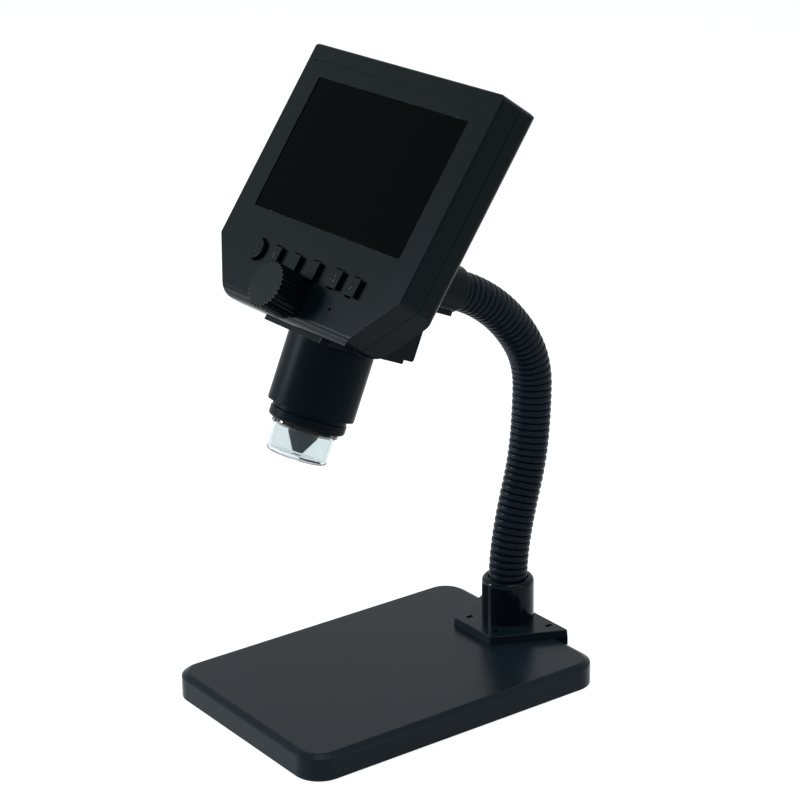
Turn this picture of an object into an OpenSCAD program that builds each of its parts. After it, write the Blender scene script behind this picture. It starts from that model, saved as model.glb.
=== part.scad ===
// Digital microscope with its own screen: a tablet-shaped head with a lens barrel below it,
// carried on a ribbed gooseneck that stands in a foot at the back of a flat weighted base.
// Millimetres. +Z up, +X to the right of the person facing the screen, -Y towards them.
// The origin is the middle of the base's underside.

/* [Base] */
// Width of the base, left to right
base_w = 105; // [96:1:130]
// Length of the base, front to back
base_l = 147.4; // [140:0.2:170]
// Height of the base above the table
base_h = 10.9; // [10.5:0.1:14]
// Radius of the base's corners in plan
base_r = 13; // [8:0.5:18]
// Thickness of the base cover's walls
base_wall = 2.4; // [2:0.1:3]

/* [Neck] */
// Outer radius of the ribs on the gooseneck's sleeve
neck_r = 8.4; // [8.2:0.1:8.6]
// Length of one gooseneck link
link_l = 22.2; // [21.2:0.5:24.2]
// Open gap between the sleeves of two links
link_gap = 2.4; // [2.2:0.1:2.6]
// Outer radius of the socket in the foot
socket_r = 11.3; // [11.1:0.1:12]
// Height of the socket's rim above the table
socket_top = 33.5; // [32.5:0.5:36]

/* [Head] */
// Width of the frame on each side of the screen's window
side_frame = 12.75; // [11.5:0.25:17]
// Height of the frame above the screen's window
top_frame = 13.45; // [12.2:0.25:16.2]
// Depth of the head's bottom edge below the middle of its screen
head_bot = 67.1; // [66.8:0.1:67.3]
// Thickness of the head, front to back
head_d = 19.4; // [19:0.1:21]
// Width of the screen's window
win_w = 98.5; // [90:0.5:100]
// Height of the screen's window
win_h = 57.9; // [52:0.1:59]
// Wall thickness of the two head shells
shell_t = 2; // [1.8:0.1:2.2]

/* [Barrel] */
// Outer radius of the lens barrel below its housing
tube_r = 17.8; // [17.4:0.1:18.2]
// Lower end of the barrel, along its axis
tube_low = -21.1; // [-24:0.1:-20]
// Outer radius of the clear cap
cap_r = 12.6; // [12.2:0.1:12.8]
// Length of the clear cap below its flange
cap_l = 11.3; // [10.5:0.1:12]

/* [Controls] */
// Radius of the focus knob over its ribs
knob_r = 9.25; // [8.5:0.05:9.4]
// Length of the focus knob
knob_l = 12.9; // [10:0.1:14]
// Side of a square button
key_w = 7.9; // [7:0.1:8]
// Radius of the round power button
power_r = 4.4; // [4:0.1:4.6]
// Height of the button tops above the face
key_h = 1.9; // [1.4:0.1:2.4]

/* [Hidden] */

slip = 0.05;      // running clearance of a shaft in its bore
seam = 0.2;       // visible gap between the two head shells
fit = 0.1;        // clearance round a part set into a cut-out
eps = 0.01;

// Base levels
sheet_t = 1;  plate_t = 1.5;  weight_t = 5;
base_top_t = 2;
plate_z = sheet_t;  weight_z = plate_z + plate_t;
roof_z = base_h - base_top_t;
boss_in = 7.5;                           // screw boss's distance from the base's side
boss_x = base_w / 2 - boss_in;  boss_c = boss_x - 3;  boss_f = base_l / 2 - boss_in - 3.2;  boss_b = boss_f - 3;
boss_xy = [[-boss_c, -boss_f], [boss_c, -boss_f], [-boss_x, 0], [boss_x, 0], [-boss_c, boss_b], [boss_c, boss_b]];

// Foot and socket
neck_y = base_l / 2 - 8.5;               // neck axis where it stands in the foot
foot_lo = base_h + 1.7;  foot_hi = foot_lo + 2.8;
foot_back = 9.9;                         // foot's rear edge behind the neck axis
foot_pts = [[12.5, -21.3], [25, 4.3], [28.2, foot_back], [-28.2, foot_back], [-25, 4.3], [-12.5, -21.3]];
neck_z = socket_top - 3.5;                 // start of the first link's bend
bore_r = neck_r - 1.9;                   // bore of the sleeve, filled by the core
root_len = 8;                            // sleeve inside the socket
grip_len = 7;                            // bare core below the sleeve
fscrew_r = 1.5;  fscrew_d = (bore_r + socket_r) / 2;  fscrew_q = [20, 160, 225, 315];

// Gooseneck: how far each link bends forwards (-) or backwards (+) when it was last set
bends = [11.2, 5, -10.1, -5.1, -31.91, -18.3, -17.61];
ball_r = 4.2;
rib_w = 2;  ribs = 7;
function lean(i) = i == 0 ? 0 : lean(i - 1) + bends[i - 1];
function step(i) = let (R = link_l * 180 / PI / bends[i], a = lean(i), b = bends[i])
  [R * sin(b) * sin(a) + R * (1 - cos(b)) * cos(a), R * sin(b) * cos(a) - R * (1 - cos(b)) * sin(a)];
function tip(i) = i == 0 ? [neck_y, neck_z] : tip(i - 1) + step(i - 1);

// Barrel frame: local Z up along the barrel, local Y towards the back
collar_w = 54.5;  collar_s = 40;         // where the neck's end stands in the barrel frame
head_w = -14.63;  head_s = 76.74;  head_a = 78.25;   // middle of the screen in that frame
collar_r = 9.7;  stub_r = 4;
house_hx = 21.5;  house_w = 20;  cover_w = 25;
house_lo = 7.5;  house_hi = 58;  house_n = -8;  house_t = 2;  house_floor = 3;
tube_bore = 13.56;  tube_hi = 28;  tail_r = 16.3;   // the barrel is slimmer where it enters its housing
ring_r = tube_r - 2.1;                   // end ring below the barrel

// Outline of the head about the middle of its screen
head_hw = win_w / 2 + side_frame;  head_top = win_h / 2 + top_frame;
face_r = 0.9;  back_r = 4;               // edge radii round the face and round the back
far = 6 * head_hw;                       // longer than any part it cuts across

// Head levels along its own Z, 0 at the face and negative inwards
face_t = 1.6;  split = -9.7;  back_t = 1.8;
glass_t = 0.6;  lcd_t = 2.9;
lcd_hw = win_w / 2 + 3.5;  lcd_hh = win_h / 2 + 4.65;
board_hi = -5.6;  board_t = 1.6;  board_v = [-win_h / 2 - 3.05, win_h / 2 - 0.95];
board_hw = head_hw - shell_t - 1;        // half the width of the main board, inside the shells
cell_w = 60;  cell_l = 47;  cell_v = 11.5;  cell_gap = 0.2;  tray_t = 1.4;
side_pts = [[head_hw, head_top], [-head_hw, head_top], [-head_hw, -43.5],
  [-head_hw + 21, -head_bot], [head_hw - 21, -head_bot], [head_hw, -43.5]];
side_r = [3, 3, 5, 6, 6, 5];
keys = [[-20.2, -45], [-7, -45.2], [6, -45], [21.2, -44.8], [33.3, -45.2]];
power_at = [-32.4, -45];
key_gap = 0.25;  key_flange = 1;  key_travel = 0.8;  key_c = 2;  key_lip = 1.15;
screw_x = head_hw - 6;  screw_v = head_top - 6.2;
screw_at = [[-screw_x, screw_v], [screw_x, screw_v], [5 - screw_x, -44.5], [screw_x - 5, -44.5]];
bscrew_x = (lcd_hw + board_hw) / 2;      // between the panel's edge and the board's
bscrew_at = [[-bscrew_x, 22], [bscrew_x, 22], [-bscrew_x, -26], [bscrew_x, -26]];
ear_at = [[-30, -56], [30, -56]];

// Focus drive: a pinion on the knob's shaft and a rack on the lens carrier
knob_v = -57.7;  shaft_r = 2;
gear_m = 0.6;  gear_z = 10;  gear_r = gear_m * gear_z / 2;
carrier_r = tube_bore - 0.06;
carrier_lo = -11;  carrier_hi = 25;
pinion_n = [-18.5, -13.2];

// ---------- helpers ----------
function unit(v) = v / norm(v);
function left(p, q) = let (d = unit(q - p)) [-d[1], d[0]];
function turn(v, a) = [v[0] * cos(a) - v[1] * sin(a), v[0] * sin(a) + v[1] * cos(a)];
// Counter-clockwise outline moved inwards by d
function inset(p, d) = let (n = len(p)) [for (i = [0:n - 1])
  let (a = left(p[(i + n - 1) % n], p[i]), b = left(p[i], p[(i + 1) % n])) p[i] + (a + b) * d / (1 + a * b)];
// Counter-clockwise outline with every convex corner rounded
function rounded(p, r, k = 5) = let (n = len(p)) [for (i = [0:n - 1])
  let (a = unit(p[(i + n - 1) % n] - p[i]), b = unit(p[(i + 1) % n] - p[i]), h = acos(a * b) / 2,
    q = max(r[i], 0.05), c = p[i] + unit(a + b) * q / sin(h), s = p[i] + a * q / tan(h) - c)
  for (j = [0:k]) c + turn(s, (180 - 2 * h) * j / k)];
function box_pts(w, h) = [[w / 2, h / 2], [-w / 2, h / 2], [-w / 2, -h / 2], [w / 2, -h / 2]];

module rod(r, a, b, n = 48) translate([0, 0, min(a, b)]) cylinder(r = r, h = abs(b - a), $fn = n);
module span(x, y, z) translate([x[0], y[0], z[0]]) cube([x[1] - x[0], y[1] - y[0], z[1] - z[0]]);
module pad(w, h, r, a, b) translate([0, 0, a]) linear_extrude(b - a)
  polygon(rounded(box_pts(w, h), [r, r, r, r]));
module at(list) for (p = list) translate([p[0], p[1], 0]) children();

// Rounded slab whose edge follows a list of [inset, z] points
module slab(w, l, r, prof) {
  n = len(prof);
  function ring(h) = concat([for (p = prof) [h - p[0], p[1]]], [for (i = [n - 1:-1:0]) [prof[i][0] - h, prof[i][1]]]);
  rotate([90, 0, 0]) linear_extrude(l - 2 * r, center = true) polygon(ring(w / 2));
  rotate([90, 0, 90]) linear_extrude(w - 2 * r, center = true) polygon(ring(l / 2));
  for (x = [-1, 1], y = [-1, 1]) translate([x * (w / 2 - r), y * (l / 2 - r), 0])
    rotate_extrude($fn = 64) polygon(concat([[0, prof[0][1]]], [for (p = prof) [r - p[0], p[1]]], [[0, prof[n - 1][1]]]));
}
base_edge = [[0, 0.5], [0, base_h - 1.5], [0.25, base_h - 0.9], [1.1, base_h - 0.35], [2.8, base_h]];

module neck_at(i) translate([0, tip(i)[0], tip(i)[1]]) rotate([-lean(i), 0, 0]) children();
// Piece of link i between two distances along it, as a curved round bar
module bent(i, r, a, b) {
  R = link_l * 180 / PI / bends[i];  q = 180 / PI / abs(R);  k = sign(R);
  multmatrix([[0, 0, -k, 0], [-k, 0, 0, R], [0, 1, 0, 0], [0, 0, 0, 1]])
    rotate([0, 0, a * q]) rotate_extrude(angle = (b - a) * q, $fn = 96)
      translate([abs(R), 0]) circle(r = r, $fn = 48);
}
module at_barrel() translate([0, tip(7)[0], tip(7)[1]]) rotate([-90 - lean(7), 0, 0])
  translate([0, -collar_w, -collar_s]) children();
module in_head() translate([0, head_w, head_s]) rotate([head_a, 0, 0]) children();
module at_head() at_barrel() in_head() children();

// ---------- base ----------
module base_shell() color("#23282f") difference() {
  union() {
    difference() {
      slab(base_w, base_l, base_r, base_edge);
      slab(base_w - 2 * base_wall, base_l - 2 * base_wall, base_r - base_wall, [[0, -1], [0, roof_z]]);
    }
    for (y = [-45, -15, 15, 45]) span([-base_w / 2 + 1, base_w / 2 - 1], [y - 1, y + 1], [weight_z + weight_t, roof_z + eps]);
    for (x = [-30, 0, 30]) span([x - 1, x + 1], [-base_l / 2 + 1, x == 0 ? 45 : base_l / 2 - 1], [weight_z + weight_t, roof_z + eps]);
    at(boss_xy) rod(3, weight_z, roof_z + eps);
  }
  at(boss_xy) rod(1.2, 0, roof_z - 1, 24);
  foot_holes(roof_z - 2, base_h + 1);
}
module foot_holes(a, b) for (q = fscrew_q) translate([fscrew_d * cos(q), neck_y + fscrew_d * sin(q), 0]) rod(fscrew_r, a, b, 32);
module base_weight() color("#6f7378") difference() {
  slab(base_w - 2 * base_wall - 1, base_l - 2 * base_wall - 1, base_r - base_wall - 0.5, [[0, weight_z], [0, weight_z + weight_t]]);
  at(boss_xy) rod(3.4, 0, 20);
  span([-12, 12], [neck_y - 11, base_l], [0, 20]);
}
module base_bottom_plate() color("#2a2c30") difference() {
  slab(base_w - 2 * base_wall - 0.4, base_l - 2 * base_wall - 0.4, base_r - base_wall - 0.2, [[0, plate_z], [0, weight_z]]);
  at(boss_xy) { rod(1.2, 0, 9, 24); translate([0, 0, plate_z]) cylinder(r1 = 2.4, r2 = 1.2, h = 1.2, $fn = 32); }
}
module base_screws() color("#9da1a6") at(boss_xy) {
  rod(1.2, plate_z, roof_z - 1.4, 24);
  translate([0, 0, plate_z]) cylinder(r1 = 2.4, r2 = 1.2, h = 1.2, $fn = 32);
}
module non_slip_sheet() color("#141517") slab(base_w - 12, base_l - 12, base_r - 6, [[0, 0], [0, sheet_t]]);

module neck_foot() color("#16181b") difference() {
  union() {
    translate([0, neck_y, 0]) {
      // plate whose front and sides step inwards as they rise
      for (k = [0:4]) translate([0, 0, foot_lo]) linear_extrude((foot_hi - foot_lo) * (0.2 + 0.2 * k))
        polygon(inset([for (p = foot_pts) p[1] < foot_back ? p : p + [0, 0.3 * k]], 0.3 * k));
      rod(socket_r, base_h, socket_top, 96);
    }
    // rear skirt that stands on the base and follows its edge
    intersection() {
      translate([0, neck_y, 0]) linear_extrude(foot_lo + 1.2) polygon([[24.4, 3.7], [28.2, foot_back], [-28.2, foot_back], [-24.4, 3.7]]);
      rotate([90, 0, 90]) linear_extrude(80, center = true) polygon(concat([[0, base_h]],
        [for (i = [4:-1:1]) [base_l / 2 - base_edge[i][0], base_edge[i][1]]], [[base_l / 2 + 3, base_h - 1.5], [base_l / 2 + 3, 30], [0, 30]]));
    }
  }
  translate([0, neck_y, 0]) {
    rod(neck_r + slip, neck_z - root_len, socket_top + 1, 96);
    rod(bore_r, neck_z - root_len - grip_len, socket_top, 64);
    translate([0, 0, socket_top - 2.2]) cylinder(r1 = neck_r, r2 = neck_r + 1.4, h = 2.4, $fn = 96);
    translate([0, 0, neck_z - root_len - 3.4]) rotate([-90, 0, 0]) rod(2, 3, socket_r + 2, 32);
    for (x = [-1, 1]) {
      span([x * 7 - 1.1, x * 7 + 1.1], [-16.5, -13.7], [foot_lo - 1, foot_hi + 1]);
      span([x * 20.4 - 1.1, x * 20.4 + 1.1], [4.7, 7.5], [foot_hi - 1, foot_hi + 1]);
    }
  }
  foot_holes(0, foot_hi + 3.4);
}
module foot_screws() color("#8d9196") for (q = fscrew_q) translate([fscrew_d * cos(q), neck_y + fscrew_d * sin(q), 0]) {
  rod(fscrew_r, roof_z - 0.1, foot_hi + 3, 32);
  difference() { rod(2.7, roof_z - 2.2, roof_z, 32); rod(1.25, roof_z - 3, roof_z - 1, 6); }
}
module socket_screw() color("#3a3d41") translate([0, neck_y, neck_z - root_len - 3.4]) rotate([-90, 0, 0])
  difference() { rod(2, bore_r, socket_r - 0.4, 32); rod(1, socket_r - 2.4, socket_r + 1, 6); }

// ---------- gooseneck ----------
module sleeve(i) color("#1a1c1f") difference() {
  a = link_gap / 2;  b = link_l - link_gap / 2;  p = (b - a - rib_w) / (ribs - 1);
  union() {
    neck_at(i) bent(i, neck_r - 0.85, i == 0 ? 0 : a, i == 6 ? link_l : b);
    neck_at(i) for (j = [0:ribs - 1]) bent(i, neck_r, a + j * p, a + j * p + rib_w);
    if (i == 0) neck_at(0) rod(neck_r, -root_len, eps, 48);
    if (i == 6) neck_at(7) rod(neck_r - 0.05, -1, root_len, 48);
  }
  neck_at(i) bent(i, bore_r, 0, i == 6 ? link_l - 0.5 : link_l);
  if (i == 0) neck_at(0) rod(bore_r, -root_len - 1, eps, 48);
  if (i == 6) neck_at(7) rod(bore_r + 0.05, -1, root_len + 1, 48);
}
module core(i) color("#85898e") {
  difference() {
    union() {
      neck_at(i) bent(i, bore_r, i == 0 ? 0 : 3, i == 6 ? link_l : link_l - 6.6);
      if (i > 0) neck_at(i) rod(bore_r - 0.3, -0.9, 3.4);
      if (i == 0) neck_at(0) rod(bore_r, -root_len - grip_len, eps, 48);
      if (i == 6) neck_at(7) rod(bore_r - 0.05, -1, root_len + 4, 48);
    }
    if (i > 0) neck_at(i) { sphere(r = ball_r + slip, $fn = 48); translate([0, 0, -1]) cylinder(r1 = 4.5, r2 = 3.9, h = 1, $fn = 48); }
  }
  if (i < 6) neck_at(i + 1) {
    sphere(r = ball_r, $fn = 48);
    rod(2.4, -6, 0, 32);
    translate([0, 0, -7.4]) cylinder(r1 = bore_r - 0.8, r2 = 2.4, h = 2.4, $fn = 48);
  }
}

// ---------- collar and swivel ----------
module along_w(s) translate([0, 0, s]) rotate([-90, 0, 0]) children();
module neck_collar() color("#1b1d20") at_barrel() difference() {
  union() {
    along_w(collar_s) rotate_extrude($fn = 96) polygon(concat([[0, cover_w + 0.3], [collar_r, cover_w + 0.3]],
      [for (q = [0:15:90]) [collar_r - 1.6 + 1.6 * cos(q), collar_w - 1.6 + 1.6 * sin(q)]], [[0, collar_w]]));
    span([-4, 4], [cover_w + 4, collar_w - 0.2], [collar_s - collar_r - 0.9, collar_s]);
  }
  along_w(collar_s) {
    rod(neck_r + slip, collar_w - root_len - 0.02, collar_w + 1, 96);
    rod(bore_r, collar_w - root_len - 4.5, collar_w, 64);
    rod(stub_r + slip, 0, cover_w + 13.4, 64);
  }
  for (w = [cover_w + 9, collar_w - root_len - 2]) translate([0, w, 0]) rod(1.5, 0, collar_s, 32);
}
module collar_screws() color("#3a3d41") at_barrel() {
  for (w = [[cover_w + 9, stub_r + 2 * slip], [collar_w - root_len - 2, bore_r]]) translate([0, w[0], 0]) difference() {
    rod(1.5, collar_s - w[1], collar_s - collar_r - 0.3, 32);
    rod(0.75, collar_s - collar_r + 1, 0, 6);
  }
}
module swivel_stub() color("#8d9196") at_barrel() along_w(collar_s) difference() {
  union() { rod(stub_r, cover_w - house_t, cover_w + 13, 64); rod(7.5, cover_w - house_t - 2.5, cover_w - house_t); }
  rod(1.6, cover_w - 9, cover_w + 20, 32);
}

// ---------- head shells ----------
// Solid of the head between two levels, inset all round by d
module tablet(d, a, b) {
  c = -head_d + (d > 0 ? back_t : 0);  f = d > 0 ? -face_t : 0;  k = d > 0 ? 0.6 : 1;
  intersection() {
    translate([0, 0, a]) linear_extrude(b - a) polygon(rounded(inset(side_pts, d), [for (r = side_r) max(r - d, 1)]));
    rotate([90, 0, 90]) linear_extrude(far, center = true) polygon(rounded([[head_top - d, f], [-head_bot + d, f],
      [-head_bot + d, split], [-head_bot + 2 + d, c], [head_top - d, c]], [face_r * k, 4.5 * k, 8, back_r * k, back_r * k]));
    rotate([90, 0, 0]) linear_extrude(far, center = true) polygon(rounded([[head_hw - d, f], [-head_hw + d, f],
      [-head_hw + d, c], [head_hw - d, c]], [face_r * k, face_r * k, back_r * k, back_r * k]));
  }
}
// Space the barrel housing takes at the bottom of the head
module housing_bay(g) span([-house_hx - g, house_hx + g],
  [-200, (house_hi + 2 * g - head_s + head_d * cos(head_a)) / sin(head_a)], [-200, house_n + g]);

module front_shell() color("#1b1d20") at_head() difference() {
  union() {
    difference() {
      tablet(0, split + seam / 2, 1);
      difference() { tablet(shell_t, split - 1, 0); }
    }
    at(screw_at) rod(2.8, split, -face_t + eps);
    at(bscrew_at) rod(2.2, board_hi, -face_t + eps);
    at(ear_at) rod(2.6, -10.2, -face_t + eps);
    translate([0, knob_v, 0]) rod(4.5, -7, -face_t + eps);
  }
  housing_bay(fit);
  pad(win_w, win_h, 1, -3, 1);
  span([5 - head_hw, head_hw - 9], [head_top - 7.3, head_top - 6.7], [-0.4, 1]);
  at(screw_at) rod(1, split - 1, -3, 24);
  at(bscrew_at) rod(0.8, board_hi - 1, -2.6, 24);
  at(ear_at) rod(1, -12, -3, 24);
  at(keys) pad(key_w + 2 * key_gap, key_w + 2 * key_gap, key_c + key_gap, -3, 1);
  translate([power_at[0], power_at[1], 0]) rod(power_r + key_gap, -3, 1);
  translate([25.5, -56.2, 0]) rod(0.7, -3, 1, 24);
  translate([0, knob_v, 0]) { rod(shaft_r + slip, -9, 1, 64); rod(3.2, -0.6, 1); }
  usb_way(); card_way();
}
module usb_way() span([-head_hw - 1, -head_hw + 3], [5.9, 14.1], [split - 1, board_hi - board_t + 0.2]);
module card_way() span([-head_hw - 1, -head_hw + 3], [-14.2, -1.8], [split - 1, board_hi - board_t - 0.2]);

module cell_bed(d, a, b) translate([0, cell_v, 0]) let (x = cell_w / 2 + cell_gap + d, y = cell_l / 2 + cell_gap + d)
  span([-x, x], [-y, y], [a, b]);

module rear_shell() color("#191b1e") at_head() difference() {
  union() {
    difference() {
      tablet(0, -30, split - seam / 2);
      difference() { tablet(shell_t, -30, split + 1); }
    }
    at(screw_at) rod(2.8, -head_d + 0.5, split);
    // battery tray
    difference() {
      cell_bed(tray_t, -head_d + 1, -11);
      cell_bed(0, -head_d + back_t, 0);
      for (x = [-20, 20]) span([x - 6, x + 6], [cell_v - cell_l, cell_v + cell_l], [-head_d + back_t, 0]);
    }
  }
  housing_bay(fit);
  at(screw_at) { rod(1, -30, 0, 24); rod(2.2, -head_d - 1, -14, 32); }
  usb_way();
}
module shell_screws() color("#77797d") at_head() at(screw_at) difference() {
  union() { rod(1, -14.5, -4, 24); rod(2, -15.4, -14, 32); }
  for (q = [0, 90]) rotate([0, 0, q]) span([-1, 1], [-0.2, 0.2], [-16, -14.7]);
}
module screen_glass() color("#07090a") at_head() pad(win_w - 0.4, win_h - 0.4, 0.8, -face_t, -face_t + glass_t);
module lcd_panel() color("#9a9da1") at_head() {
  difference() { pad(2 * lcd_hw, 2 * lcd_hh, 0.6, -face_t - lcd_t, -face_t); pad(win_w - 1, win_h - 1, 0.3, -face_t - 0.3, 1); }
  span([-9, 9], [-win_h / 2 - 8.5, -win_h / 2 - 4], [-face_t - lcd_t, -face_t - lcd_t + 0.3]);
}
module main_board() color("#1f5a36") at_head() {
  difference() {
    span([-board_hw, board_hw], board_v, [board_hi - board_t, board_hi]);
    at(bscrew_at) rod(0.8, -20, 0, 24);
  }
  for (c = [[-10, 8, 14, 14, 1.2], [14, 10, 9, 9, 1], [36, -14, 10, 12, 1.6], [-36, 14, 7, 7, 2], [30, 16, 8, 5, 1]])
    span([c[0] - c[2] / 2, c[0] + c[2] / 2], [c[1] - c[3] / 2, c[1] + c[3] / 2], [board_hi - board_t - c[4], board_hi - board_t + eps]);
  span([-11, 11], [-31, -25], [board_hi - eps, -face_t - lcd_t - 0.05]);
}
module board_screws() color("#77797d") at_head() at(bscrew_at) { rod(0.8, -8.6, -3, 24); rod(1.6, -8.8, board_hi - board_t, 32); }
module button_board() color("#1f5a36") at_head() {
  difference() {
    span([power_at[0] - 11.6, keys[4][0] + 10.7], [power_at[1] - 6, power_at[1] + 6], [board_hi - board_t, board_hi]);
    at([[power_at[0] - 10.6, -46], [keys[4][0] + 9.7, -46]]) rod(0.8, -20, 0, 24);
  }
  for (p = concat(keys, [power_at])) translate([p[0], p[1], 0]) { span([-2.6, 2.6], [-2.6, 2.6], [board_hi - eps, -4.1]); rod(1.3, -5, -3.6, 32); }
}
module battery() color("#8f9499") at_head() translate([0, cell_v, 0]) pad(cell_w, cell_l, 2, -head_d + back_t, -11.2);
module usb_socket() color("#b9bcc0") at_head() difference() {
  span([-head_hw + 0.4, -head_hw + 6], [6.2, 13.8], [-9.5, board_hi - board_t]);
  span([-head_hw - 1, -head_hw + 5.4], [6.6, 13.4], [-9.1, board_hi - board_t - 0.4]);
  span([-head_hw - 1, -head_hw + 1.2], [6, 14], [-8.9, -8.8]);
}
module card_socket() color("#b9bcc0") at_head() difference() {
  span([-head_hw + 2.2, -head_hw + 17], [-15, -1], [-9.2, board_hi - board_t]);
  span([-head_hw, -head_hw + 16], [-13.6, -2.4], [-8.9, board_hi - board_t - 0.7]);
}

// ---------- barrel housing ----------
module housing_side(g) polygon([[-60, house_lo + g], [house_w - g, house_lo + g], [house_w - g, 17],
  for (q = [0:18:90]) [cover_w - g - (cover_w - house_w) * cos(q), 17 + 6 * sin(q)],
  [cover_w - g, house_hi - g], [-60, house_hi - g]]);
module housing_block(g) intersection() {
  rotate([90, 0, 90]) linear_extrude(2 * (house_hx - g), center = true) housing_side(g);
  in_head() rotate([90, 0, 0]) linear_extrude(far, center = true)
    polygon(rounded([[house_hx - g, house_n - g], [g - house_hx, house_n - g], [g - house_hx, -90], [house_hx - g, -90]], [3, 3, 1, 1]));
}
module barrel_housing() color("#191b1e") at_barrel() difference() {
  union() {
    difference() {
      housing_block(0);
      intersection() { housing_block(house_t); span([-50, 50], [-90, 90], [house_lo + house_floor, 90]); }
      in_head() span([-house_hx + house_t, house_hx - house_t], [-63, 100], [-12, 5]);
    }
    in_head() for (x = [-1, 1]) span(x < 0 ? [-33, 1 - house_hx] : [house_hx - 1, 33], [-59.5, -52.5], [-12.2, -10.2]);
  }
  rod(tail_r, 0, 20, 96);
  in_head() at(ear_at) rod(1, -20, 0, 24);
  along_w(collar_s) rod(stub_r, 0, cover_w + 2, 64);
  for (x = [-14, 14]) along_w(15) translate([x, 0, 0]) rod(0.8, house_w - 3, house_w + 3, 24);
}
module housing_screws() color("#77797d") at_head() at(ear_at) { rod(1, -12.4, -4, 24); rod(2, -13.6, -12.2, 32); }
module back_cover() color("#191b1e") at_barrel() difference() {
  rotate([90, 0, 90]) linear_extrude(2 * house_hx, center = true) polygon([[house_w, house_lo + 1.7], [cover_w - 0.8, house_lo + 1.7], [cover_w, house_lo + 2.5],
    [cover_w, 23], for (q = [90:-18:0]) [cover_w - (cover_w - house_w) * cos(q), 17 + 6 * sin(q)]]);
  for (x = [-14, 14]) along_w(15) translate([x, 0, 0]) { rod(0.8, 0, 60, 24); rod(1.7, cover_w - 1.4, 60, 32); }
}
module cover_screws() color("#77797d") at_barrel() for (x = [-14, 14]) along_w(15) translate([x, 0, 0]) {
  rod(0.8, house_w - 2, cover_w - 1, 24); rod(1.6, cover_w - 1.4, cover_w - 0.2, 32);
}

// ---------- barrel ----------
module barrel_tube() color("#17191b") at_barrel() difference() {
  rotate_extrude($fn = 128) polygon([[0, tube_low], [tube_r - 0.4, tube_low], [tube_r, tube_low + 0.4], [tube_r, house_lo],
    [tail_r, house_lo], [tail_r, house_lo + house_floor], [tail_r + 1.5, house_lo + house_floor],
    [tail_r + 1.5, house_lo + house_floor + 1.8], [tail_r, house_lo + house_floor + 1.8], [tail_r, tube_hi], [0, tube_hi]]);
  rod(tube_bore, tube_low - 1, tube_hi + 1, 128);
  span([-4.4, 4.4], [-20, -10], [13.4, 23.4]);
}
module end_ring() color("#141618") at_barrel() translate([0, 0, tube_low]) rotate_extrude($fn = 128) polygon(concat(
  [[10.8, 2.6], [10.8, -6.3], [ring_r - 1.5, -6.3]],
  [for (q = [0:22.5:90]) [ring_r - 1.5 + 1.5 * sin(q), -4.8 - 1.5 * cos(q)]],
  [[ring_r, -2.2], [ring_r - 0.4, -1.8], [ring_r - 0.4, 0], [tube_bore, 0], [tube_bore, 2.6]]));
module lens_hood() color("#0c0d0e") at_barrel() translate([0, 0, tube_low]) rotate_extrude($fn = 64)
  polygon([[6.1, 2.6], [6.1, -10.4], [2.2, -17.4], [1.4, -17.4], [5.3, -10.2], [5.3, 2.6]]);
module led_board() color("#e8e8e4") at_barrel() translate([0, 0, tube_low + 2.6]) difference() { rod(tube_bore - 0.1, 0, 1.2, 96); rod(5.3, -1, 3, 64); }
module leds() color("#f4efc9") at_barrel() for (q = [0:45:315]) rotate([0, 0, q]) translate([8.4, 0, tube_low]) { rod(1.5, 1.2, 2.6, 32); sphere(r = 1.2, $fn = 32); rod(1.2, 0, 1.3, 32); }
module clear_cap() color("#dfe8ea") at_barrel() translate([0, 0, tube_low - 6.3]) rotate_extrude($fn = 128) polygon(concat(
  [[10.8, 3.4], [10.8, 0], [cap_r + 1.1, 0], [cap_r + 1.2, -0.4], [cap_r + 1.2, -1.6], [cap_r + 0.8, -2]],
  [[cap_r + 0.1, -2.2], [cap_r, -2 - cap_l + 1.2], [cap_r - 0.35, -2 - cap_l + 0.35], [cap_r - 1.2, -2 - cap_l]],
  [[2, -2 - cap_l], [2, -1 - cap_l], [cap_r - 1.7, -1 - cap_l], [cap_r - 1, -1.6], [9.8, -0.8], [9.8, 3.4]]));

// ---------- moving optics ----------
module lens_carrier() color("#101113") at_barrel() difference() {
  rod(carrier_r, carrier_lo, carrier_hi, 128);
  rod(5, carrier_lo - 1, carrier_hi + 1, 64);
  rod(6.2, carrier_lo - 1, carrier_lo + 7, 64);
  span([-4.3, 3.8], [-20, -5.9], [6.4, carrier_hi + 1]);
  span([3.7, 5.4], [-12.6, -6], [6.4, carrier_hi + 1]);
}
// Rack teeth stand on the strip's inner face and run along the pinion's axis
module focus_rack() color("#c9a24a") at_barrel() {
  span([3.8, 5.4], [-12.2, -6], [6.4, carrier_hi]);
  intersection() {
    span([0, 4], [-12.1, -6.4], [6.4, carrier_hi]);
    in_head() translate([0, knob_v, -40]) linear_extrude(60) for (k = [-7:7]) let (c = gear_m * PI * k)
      polygon([[gear_r + 0.85, c - 0.7], [gear_r - 0.55, c - 0.23], [gear_r - 0.55, c + 0.23], [gear_r + 0.85, c + 0.7]]);
  }
}
module lens() color("#1d2a33") at_barrel() translate([0, 0, carrier_lo]) { difference() { rod(6.2, 0, 7, 64); rod(4, -1, 1, 48); rod(3, 6, 8, 48); } }
module sensor_board() color("#1f5a36") at_barrel() { span([-9, 9], [-9, 9], [carrier_hi, carrier_hi + 1.2]); span([-3, 3], [-3, 3], [carrier_hi - 1, carrier_hi + eps]); }

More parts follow.
